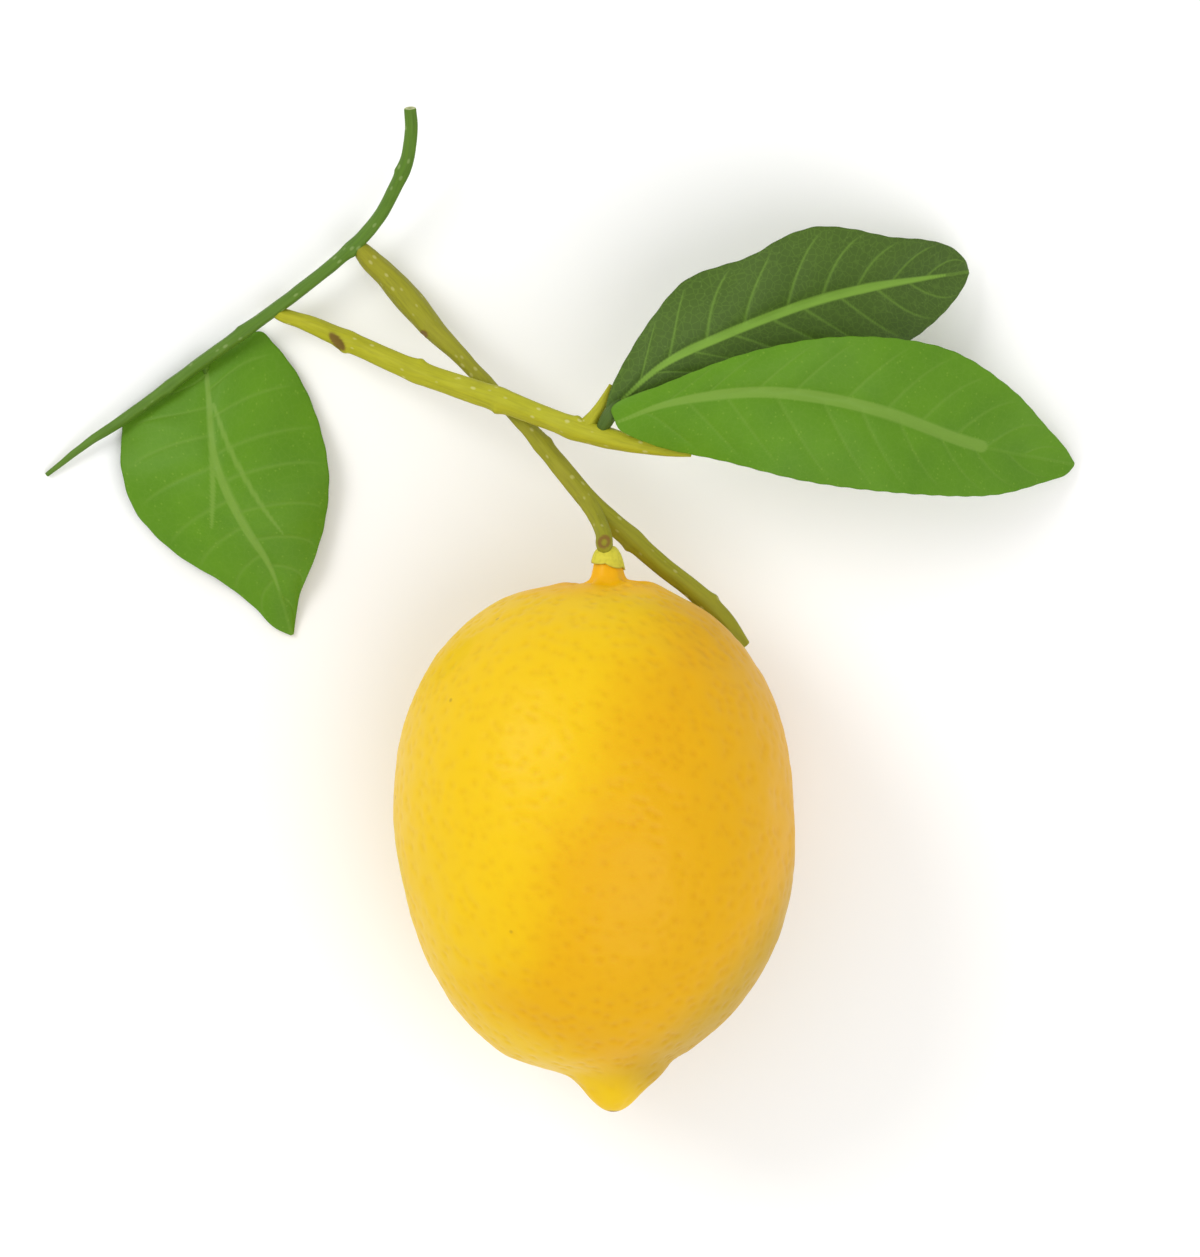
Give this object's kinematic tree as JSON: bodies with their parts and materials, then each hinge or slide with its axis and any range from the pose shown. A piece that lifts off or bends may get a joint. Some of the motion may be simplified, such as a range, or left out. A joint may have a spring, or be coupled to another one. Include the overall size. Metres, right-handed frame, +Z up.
{
  "type": "lemon",
  "caption": "Ripe lemon as picked, lying on its side on a small flat spot, with its calyx, cut sprig stems and leathery leaves.",
  "frame": {"origin": "middle of the small flat spot that the fruit rests on, at the table's surface", "axes": "+Z up from the table; +Y along the fruit's axis towards its stem end; +X along the right-hand leaves"},
  "size_m": [0.1601, 0.156, 0.0616],
  "materials": {
    "peel": "satin",
    "calyx": "matte",
    "olive_bark": "matte",
    "young_bark": "matte",
    "green_bark": "satin",
    "leaf": "satin",
    "dark_leaf": "satin"
  },
  "bodies": {
    "root": {"lemon": "peel", "calyx": "calyx", "fruiting_twig": "olive_bark", "leafy_twig": "young_bark", "green_shoot": "green_bark", "leaf_left": "leaf", "leaf_dark": "dark_leaf", "leaf_right": "leaf"}
  },
  "joints": []
}
